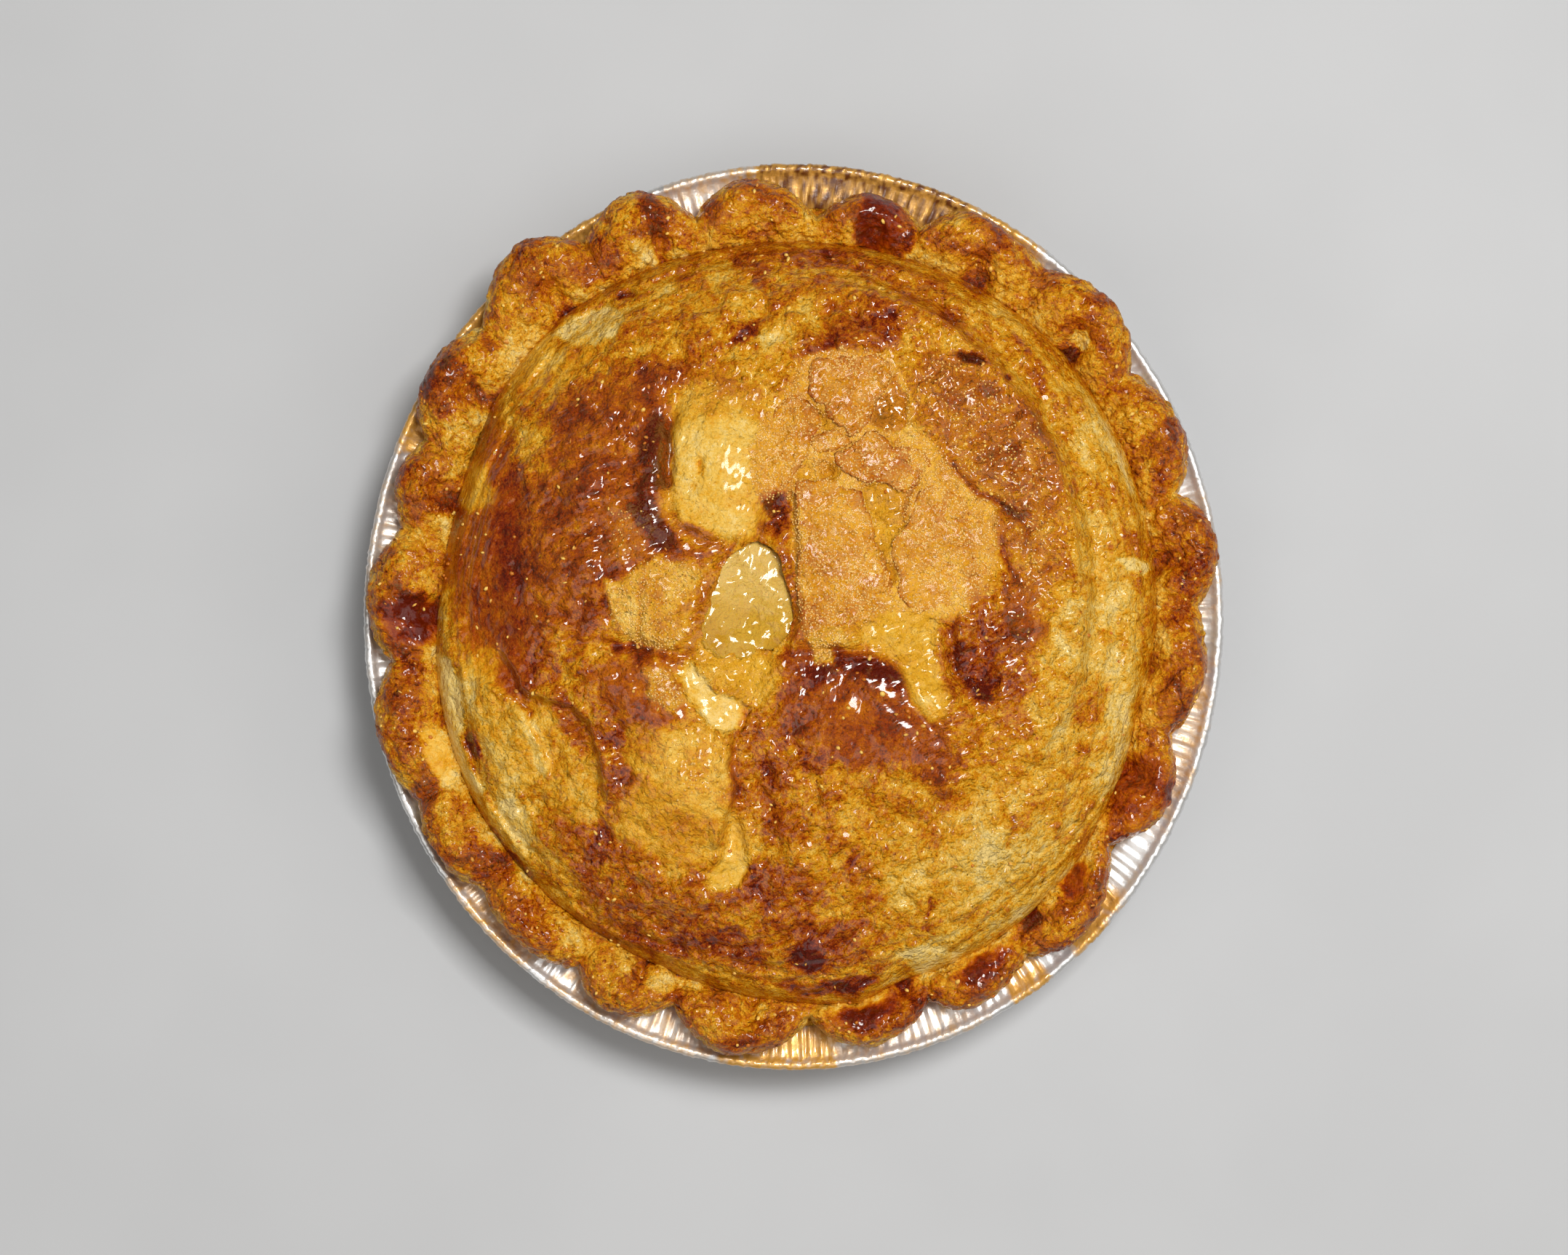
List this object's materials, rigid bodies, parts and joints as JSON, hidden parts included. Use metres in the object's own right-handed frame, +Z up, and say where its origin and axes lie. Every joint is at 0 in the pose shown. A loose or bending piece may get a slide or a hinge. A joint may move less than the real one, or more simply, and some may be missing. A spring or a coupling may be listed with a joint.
{
  "type": "apple pie",
  "caption": "Whole baked apple pie with a high uneven golden lid, an open steam vent showing the apple filling and a crimped rim, in its own round foil tin.",
  "frame": {"origin": "on the table under the middle of the tin", "axes": "+Z up out of the pie; +Y towards the far side of the pie as the picture shows it, along the tin's longer width; +X to the right"},
  "size_m": [0.224, 0.236, 0.0686],
  "materials": {
    "foil_tin": "bright pressed foil with fine radial pleats and baked-on golden juice",
    "bottom_crust": "crisp flaky pastry, browned deepest on the tips of its crimps",
    "apple_filling": "wet cooked apple in thick yellow juice",
    "top_crust": "glazed and sugared pastry, from pale gold to dark red-brown"
  },
  "bodies": {
    "root": {"foil_tin": "foil_tin", "bottom_crust": "bottom_crust", "apple_filling": "apple_filling", "top_crust": "top_crust"}
  },
  "joints": []
}
